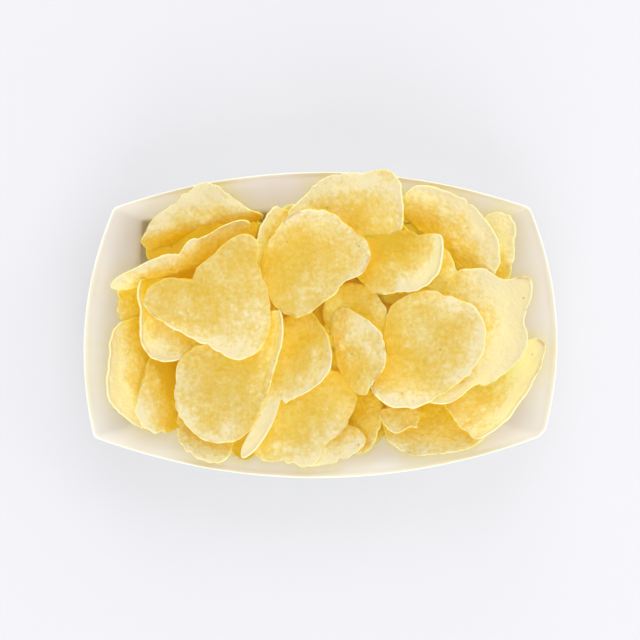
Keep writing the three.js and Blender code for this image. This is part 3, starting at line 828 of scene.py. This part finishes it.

# %% [markdown]
# ## The finish of the card
# Two things make the card more than a white surface. Within about a centimetre of the heap it is
# painted golden: painted warm light, for the light that the crisps throw back onto it. That can't
# be painted by eye, so it is worked out: the distance from each point of the inner face to the
# nearest point of the heap gives its share of that painted light. And thin card lets light
# through, so each wall glows with the light outside it. The base on the table and the top of the
# rim do so less.

# %% Find where the card gets painted warm light and where it lets light through
BOUNCE_REACH = 7.0
BOUNCE_CLIMB = 0.3
WALL_START = 5.0
BASE_SHARE = 0.6
RIM_OPAQUE = 0.6
RIM_START = 0.85
HEAP_SAMPLE = 3
HALF_CELL = 0.5

level = rings[:, :, 2] / rings[:, :, 2].max(axis=0)
wall = np.clip(rings[:, :, 2] / WALL_START, BASE_SHARE, 1)
wall *= 1 - RIM_OPAQUE * np.clip((level - RIM_START) / (1 - RIM_START), 0, 1)
heap_columns = np.argwhere(~np.isnan(cover))[::HEAP_SAMPLE]
heap_high = cover[tuple(heap_columns.T)]
heap_points = np.column_stack([heap_columns + MAP_LOW + HALF_CELL, heap_high])
oiled = np.zeros(len(tray_points))
inner_ring = index >= index[rings.shape[0] // 2, 0]
for number in np.flatnonzero(inner_ring.ravel()):
    away = heap_points - tray_points[number]
    away[:, 2] = BOUNCE_CLIMB * np.maximum(-away[:, 2], 0)
    oiled[number] = math.exp(-math.sqrt((away ** 2).sum(1).min()) / BOUNCE_REACH)
# The printed share counts the points of the card that get the painted warm light.
print("share of the tray's points with oil on them:", (oiled > 0.1).mean().round(2))

# %% [markdown]
# White board with a thin clay and grease-proof coating: matt to the eye, with a faint fibre in
# the surface.

# %% Mix the coated board
BOARD_WHITE = colour("#F3F8EC")
BOARD_SHADE = colour("#F0F5E8")
# The golden colour near the heap is painted warm light, the glow that the crisps throw back onto the
# card.
BOARD_WARM_BOUNCE = colour("#EAD65F")
FIBRE = 0.9
FIBRE_DEPTH = 0.06
CLOUD_SIZE = 25.0
CARD_SCATTER = 7.0
CARD_SCATTER_COLOURS = (1.0, 0.97, 0.92)

coated_board, tree = new_finish("clay_coated_white_board")
where = add(tree, "ShaderNodeTexCoord")
fibres = add(tree, "ShaderNodeTexNoise", inputs={
    "Vector": where.outputs["Object"], "Scale": 1 / (FIBRE * MM), "Detail": 4.0, "Roughness": 0.65})
clouds = add(tree, "ShaderNodeTexNoise", inputs={
    "Vector": where.outputs["Object"], "Scale": 1 / (CLOUD_SIZE * MM), "Detail": 2.0})
board = add(tree, "ShaderNodeMix", dict(data_type="RGBA"), {
    0: clouds.outputs["Fac"], 6: BOARD_WHITE, 7: BOARD_SHADE})
see_through = add(tree, "ShaderNodeAttribute", dict(attribute_name="wall"))
bounce_share = add(tree, "ShaderNodeAttribute", dict(attribute_name="oiled"))
bounce_warmed = add(tree, "ShaderNodeMix", dict(data_type="RGBA"), {
    0: bounce_share.outputs["Fac"], 6: board.outputs[2], 7: BOARD_WARM_BOUNCE})
bump = add(tree, "ShaderNodeBump", inputs={
    "Height": fibres.outputs["Fac"], "Strength": 0.35, "Distance": FIBRE_DEPTH * MM})
surface = add(tree, "ShaderNodeBsdfPrincipled", inputs={
    "Base Color": bounce_warmed.outputs[2], "Roughness": 0.55, "IOR": 1.45, "Specular IOR Level": 0.3,
    "Subsurface Weight": see_through.outputs["Fac"], "Subsurface Radius": CARD_SCATTER_COLOURS,
    "Subsurface Scale": CARD_SCATTER * MM, "Normal": bump.outputs[0]})
add(tree, "ShaderNodeOutputMaterial", inputs={"Surface": surface.outputs[0]})

tray_attributes = dict(oiled=oiled, wall=wall.ravel())
tray_piece = show(mesh_from("card_tray", tray_points, tray_quads, tray_attributes), coated_board)

# %% [markdown]
# The heart of the heap is never seen, so one low mound of crumbs and broken crisps fills it. It
# follows the bed at a distance, softened, so it shows no steps from the side. It is a closed form
# inside the tray.

# %% Fill the heart of the heap
CORE_STEPS = 110
CORE_WALL_LEVEL = 0.06
CORE_INSET = 14.0
CORE_DROP = 7.0
CORE_FLOOR = CARD + 0.5
CORE_OVAL = (80, 45)
CORE_EDGE = 0.1
CORE_FOOT = 0.85
FOOT_NARROW = 0.97
MOUND_REACH = 12
MOUND_SOFTENING = 40
MOUND_NARROW = (0.84, 0.9)
# Wavelength and height of the crumbs, in mm.
CRUMBS = ((7, 0.7), (3.5, 0.5))
CORE_SEED = 5
CORE_TONE = 0.2
CORE_MARK = 0.9

mound = soften(lowest_within(bed, MOUND_REACH), MOUND_SOFTENING) - CORE_DROP

rim, angle = disc(CORE_STEPS)
edge = tray_ring(CORE_WALL_LEVEL, CORE_INSET)
edge_angle = np.arctan2(edge[:, 1] / CORE_OVAL[1], edge[:, 0] / CORE_OVAL[0])
order = np.argsort(edge_angle)
x, y = (rim * np.interp(angle, edge_angle[order], edge[order, axis], period=2 * math.pi) * narrow
        for axis, narrow in enumerate(MOUND_NARROW))
draw = np.random.default_rng(CORE_SEED)
rough = sum(height * lumps(x, y, draw, wavelength) for wavelength, height in CRUMBS)
edge_height = CORNER_HEIGHT * CORE_WALL_LEVEL
top = np.maximum(mound[cell(np.stack([x, y], 1))] + rough, edge_height) - edge_height
top = edge_height + top * np.clip((1 - rim) / CORE_EDGE, 0, 1)
foot = np.clip((rim - CORE_FOOT) / (1 - CORE_FOOT), 0, 1)
bottom = CORE_FLOOR + (edge_height - CORE_FLOOR) * foot
squeeze = FOOT_NARROW + (1 - FOOT_NARROW) * foot
quads, inner = shell(CORE_STEPS)
points = np.concatenate([np.stack([x, y, top], 1),
                         np.stack([x * squeeze, y * squeeze, bottom], 1)[inner]])
core_flat = np.stack([x, y, np.zeros_like(x)], 1)
none = np.zeros(len(points))
core_attributes = dict(flat=np.concatenate([core_flat, core_flat[inner]]), rim=none, blister=none,
                       tone=none + CORE_TONE, mark=none + CORE_MARK, shelter=shelter(points),
                       relief=relief_of(points), lift=none)
core_piece = show(mesh_from("crisp_crumbs_core", points, quads, core_attributes), fried_potato)

# %% [markdown]
# ## The crisps underneath
# Many crisps lie below the ones that show, and only bits of them are seen. That is work for
# Geometry Nodes: points are spread at an even spacing, and each takes one of three slices, turned
# at random and tipped a little. The points lie on the bed and on copies of it further down, as far
# as the mound, so the heap is full from every side. The tree ends in Realize Instances and Set
# Material, and the result becomes a plain mesh.

# %% Cut three spare slices
SPARE_RADII = ((21, 19, 18, 20, 22, 20, 18, 19), (17, 20, 17, 15, 18, 21, 17, 15),
               (14, 17, 20, 16, 13, 15, 18, 15))
SPARE_STEP = 2.2
SPARE_CURL = (9, 9, 25)
SPARE_SEED = 60

spares = []
for number, radii in enumerate(SPARE_RADII):
    spare = dict(at=np.zeros(3), first=0, radii=np.array(radii, float), lean=(0, 0),
                 cup=(30 * number, 4, 3 - number), curls=[(90 * number, *SPARE_CURL)],
                 seed=SPARE_SEED + number)
    spare_mesh = mesh_from(f"spare_slice_{number}", *crisp_mesh_data(spare, SPARE_STEP))
    spares.append(show(spare_mesh, fried_potato))

# %% Lay copies of the bed in layers
BED_ALONG = (-72, 73)
BED_ACROSS = (-38, 41)
BED_STEP = 4
SPARE_MARGIN = 19
LAYERS = 8
LAYER_STEP = 4.0

gx, gy = np.meshgrid(np.arange(*BED_ALONG, BED_STEP), np.arange(*BED_ACROSS, BED_STEP),
                     indexing="ij")
bed_points = np.stack([gx.ravel(), gy.ravel(), np.zeros(gx.size)], 1).astype(float)
bed_points[:, 2] = bed[cell(bed_points)]
bed_quads = grid_quads(np.arange(gx.size).reshape(gx.shape))
far_inside = lowest_within(without_gaps, GAP_REACH + SPARE_MARGIN)[cell(bed_points)] > 0
bed_quads = bed_quads[far_inside[bed_quads].all(1)]
mound_height = mound[cell(bed_points)] - LAYER_STEP / 2
layer_points, layer_quads = [], []
for number in range(LAYERS):
    lowered = bed_points - [0, 0, number * LAYER_STEP]
    above_mound = (lowered[:, 2] > np.maximum(mound_height, BARE_HEIGHT))[bed_quads].all(1)
    layer_points.append(lowered)
    layer_quads.append(bed_quads[above_mound] + number * len(bed_points))
bed_points, bed_quads = np.concatenate(layer_points), np.concatenate(layer_quads)
underneath = show(mesh_from("crisps_underneath", bed_points, bed_quads), fried_potato)

# %% Spread them over the bed with Geometry Nodes
SPACING = 11.0
MOST_IN_A_SQUARE_METRE = 40000.0
TILT = 12.0
SPARE_TONES = (0.35, 0.65)
SEED = 11

scatter = bpy.data.node_groups.new("spread_spare_slices", "GeometryNodeTree")
for name, kind in (("Bed", "NodeSocketGeometry"), ("Spacing", "NodeSocketFloat"),
                   ("Tilt", "NodeSocketFloat"), ("Seed", "NodeSocketInt")):
    scatter.interface.new_socket(name, in_out="INPUT", socket_type=kind)
scatter.interface.new_socket("Slices", in_out="OUTPUT", socket_type="NodeSocketGeometry")
given = add(scatter, "NodeGroupInput")
spread = add(scatter, "GeometryNodeDistributePointsOnFaces", dict(distribute_method="POISSON"), {
    "Mesh": given.outputs["Bed"], "Distance Min": given.outputs["Spacing"],
    "Density Max": MOST_IN_A_SQUARE_METRE, "Seed": given.outputs["Seed"]})
tilt_back = add(scatter, "ShaderNodeMath", dict(operation="MULTIPLY"),
                {0: given.outputs["Tilt"], 1: -1.0})
seeds = [given.outputs["Seed"]]
for later in (1.0, 2.0):
    seed = add(scatter, "ShaderNodeMath", dict(operation="ADD"), {0: seeds[0], 1: later})
    seeds.append(seed.outputs[0])
tilt, roll, heading, own_mark, own_tone = (
    add(scatter, "FunctionNodeRandomValue", dict(data_type="FLOAT"), {2: low, 3: high, "Seed": seed})
    for low, high, seed in ((tilt_back.outputs[0], given.outputs["Tilt"], seeds[0]),
                            (tilt_back.outputs[0], given.outputs["Tilt"], seeds[1]),
                            (0.0, 2 * math.pi, seeds[2]), (0.0, 1.0, seeds[1]),
                            (*SPARE_TONES, seeds[2])))
turn = add(scatter, "ShaderNodeCombineXYZ", inputs={
    0: tilt.outputs[1], 1: roll.outputs[1], 2: heading.outputs[1]})
choices = add(scatter, "GeometryNodeJoinGeometry")
for spare in spares[::-1]:
    source = add(scatter, "GeometryNodeObjectInfo", dict(transform_space="ORIGINAL"), {
        "Object": spare, "As Instance": True})
    scatter.links.new(source.outputs["Geometry"], choices.inputs[0])
placed = add(scatter, "GeometryNodeInstanceOnPoints", inputs={
    "Points": spread.outputs["Points"], "Instance": choices.outputs[0], "Pick Instance": True,
    "Rotation": turn.outputs[0]})
for name, value in (("mark", own_mark), ("tone", own_tone)):
    placed = add(scatter, "GeometryNodeStoreNamedAttribute",
                 dict(data_type="FLOAT", domain="INSTANCE"),
                 {"Geometry": placed.outputs[0], "Name": name, "Value": value.outputs[1]})
real = add(scatter, "GeometryNodeRealizeInstances", inputs={"Geometry": placed.outputs[0]})
finished = add(scatter, "GeometryNodeSetMaterial", inputs={
    "Geometry": real.outputs[0], "Material": fried_potato})
add(scatter, "NodeGroupOutput", inputs={"Slices": finished.outputs[0]})

modifier = underneath.modifiers.new("spread", "NODES")
modifier.node_group = scatter
sizes = {"Spacing": SPACING * MM, "Tilt": math.radians(TILT), "Seed": SEED}
for item in scatter.interface.items_tree:
    if item.in_out == "INPUT" and item.name in sizes:
        modifier[item.identifier] = sizes[item.name]
bpy.context.view_layer.update()
evaluated = underneath.evaluated_get(bpy.context.evaluated_depsgraph_get())
plain = bpy.data.meshes.new_from_object(evaluated)
underneath.modifiers.clear()
underneath.data = plain
plain.name = "crisps_underneath"
for spare in spares:
    bpy.data.objects.remove(spare)

# %% [markdown]
# Some of the spare slices would stick out through the ones above. Each of those is moved down as
# a whole until it lies just below its cover. The number `mark` differs from slice to slice, so it
# tells which points belong together. The attribute `flat` has a Z that marks the lower face.

# %% Move them down under their cover
LID_REACH = 2
LID_GAP = 1.6
FLOOR_GAP = 1.0


def read(name, kind, width):
    """An attribute of the spread slices as an array with one row a point."""
    values = np.zeros(len(plain.vertices) * width, np.float32)
    plain.attributes[name].data.foreach_get(kind, values)
    return values.reshape(-1, width).astype(float)


lid = lowest_within(cover, LID_REACH) - LID_GAP
lid = np.where(np.isnan(lid), HEAP_HIGH[2], lid)
points = read("position", "vector", 3) / MM
is_lower = read("flat", "vector", 3)[:, 2] > LOWER_FACE_MARK / 2
_, slice_number = np.unique(read("mark", "value", 1)[:, 0], return_inverse=True)
over = points[:, 2] - lid[cell(points)] + np.where(is_lower, THICKNESS, 0)
drop = np.zeros(slice_number.max() + 1)
np.maximum.at(drop, slice_number, over)
print(len(drop), "slices underneath,", int((drop > 0).sum()), "of them moved down")
points[:, 2] -= drop[slice_number]
points[:, 2] = np.maximum(points[:, 2], CARD + FLOOR_GAP + np.where(is_lower, 0, THICKNESS))
plain.vertices.foreach_set("co", (points * MM).astype(np.float32).ravel())
for name, values in (("shelter", shelter(points)), ("relief", relief_of(points))):
    layer = plain.attributes.new(name, "FLOAT", "POINT")
    layer.data.foreach_set("value", values.astype(np.float32))
plain.update()
print("crisps_underneath:", sum(len(p.vertices) - 2 for p in plain.polygons), "triangles")

# %% [markdown]
# ## Floor, light and camera
# The tray stands on a plain pale table top. A bright sky gives most of the light, as in a room
# with white walls. Soft panels stand round the table, high ones for the crisps and low ones that
# shine through the card, and the one at the right gives the heap its form. The camera looks
# straight down from 0.9 m with a long lens, so near and far walls look alike.

# %% Lay the table top
TABLE_SIZE = 6.0
TABLE_COLOUR = colour("#D6D5D9")
TABLE_STROKES = colour("#D4D3D7")
STROKES_PER_METRE = 4.0

table_mesh = mesh_from("table_top", np.array([[-1, -1, 0], [1, -1, 0], [1, 1, 0], [-1, 1, 0]])
                       * TABLE_SIZE / 2 / MM, np.array([[0, 1, 2, 3]]), smooth=False)
table_finish, tree = new_finish("painted_table_top")
where = add(tree, "ShaderNodeTexCoord")
brushing = add(tree, "ShaderNodeTexNoise", inputs={
    "Vector": where.outputs["Object"], "Scale": STROKES_PER_METRE, "Detail": 3.0})
paint = add(tree, "ShaderNodeMix", dict(data_type="RGBA"), {
    0: brushing.outputs["Fac"], 6: TABLE_COLOUR, 7: TABLE_STROKES})
surface = add(tree, "ShaderNodeBsdfPrincipled", inputs={
    "Base Color": paint.outputs[2], "Roughness": 0.8, "Specular IOR Level": 0.2})
add(tree, "ShaderNodeOutputMaterial", inputs={"Surface": surface.outputs[0]})
table_top = show(table_mesh, table_finish)

# %% Hang the lights
SKY_COLOUR = colour("#F6F7FA")
SKY_STRENGTH = 0.97
PANEL_WHITE = colour("#FFFDFA")

world = bpy.data.worlds.new("soft_sky")
bpy.context.scene.world = world
world.use_nodes = True
sky = world.node_tree.nodes["Background"]
sky.inputs["Color"].default_value = SKY_COLOUR
sky.inputs["Strength"].default_value = SKY_STRENGTH


def panel(name, place, size, power):
    """A square soft box at `place` in metres, which faces the heap. The power is in watts."""
    light = bpy.data.lights.new(name, "AREA")
    light.size = size
    light.energy = power
    light.color = PANEL_WHITE[:3]
    lamp = bpy.data.objects.new(name, light)
    bpy.context.scene.collection.objects.link(lamp)
    lamp.location = place
    lamp.rotation_euler = lamp.location.to_track_quat("Z", "Y").to_euler()
    return lamp


panel("overhead_panel", (0.3, 0.5, 2.2), 1.6, 2.0)
panel("far_panel", (0.1, 1.2, 1.3), 1.2, 6.5)
panel("low_far_panel", (0, 1.35, 0.32), 0.9, 3.5)
panel("low_near_panel", (0, -1.35, 0.32), 0.9, 4.5)
panel("near_panel", (0.1, -1.2, 1.3), 1.2, 8.0)
panel("right_panel", (1.6, 0.5, 1.3), 1.4, 5.5)

# %% Set the camera
EYE = (-0.0002, 0.0021, 0.900)
LENS = 114.91
FILM_WIDTH = 36
NEAREST = 0.01

camera = bpy.data.cameras.new("camera")
camera.sensor_width = FILM_WIDTH
camera.lens = LENS
camera.clip_start = NEAREST
viewpoint = bpy.data.objects.new("camera", camera)
viewpoint.location = EYE
bpy.context.scene.collection.objects.link(viewpoint)
bpy.context.scene.camera = viewpoint

# %% [markdown]
# Light that has been through several crisps or through the card bounces many times, so the limits
# on bounces are raised. The plain view transform and a little gamma keep the whites clean.

# %% Set the light paths and the view
bpy.context.scene.view_settings.view_transform = "Standard"
bpy.context.scene.view_settings.gamma = 1.1
bpy.context.scene.cycles.use_denoising = True
bpy.context.scene.cycles.max_bounces = 14
bpy.context.scene.cycles.diffuse_bounces = 10

# %% [markdown]
# ## Attach the pieces
# Each piece moves with the body of the imported model and stands for the solid that it replaces.

# %% Attach each piece to the body and hide the solids they replace
for piece in [*crisp_pieces, underneath, core_piece]:
    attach(piece, "root")
    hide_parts("crisps")
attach(tray_piece, "root")
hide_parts("tray")
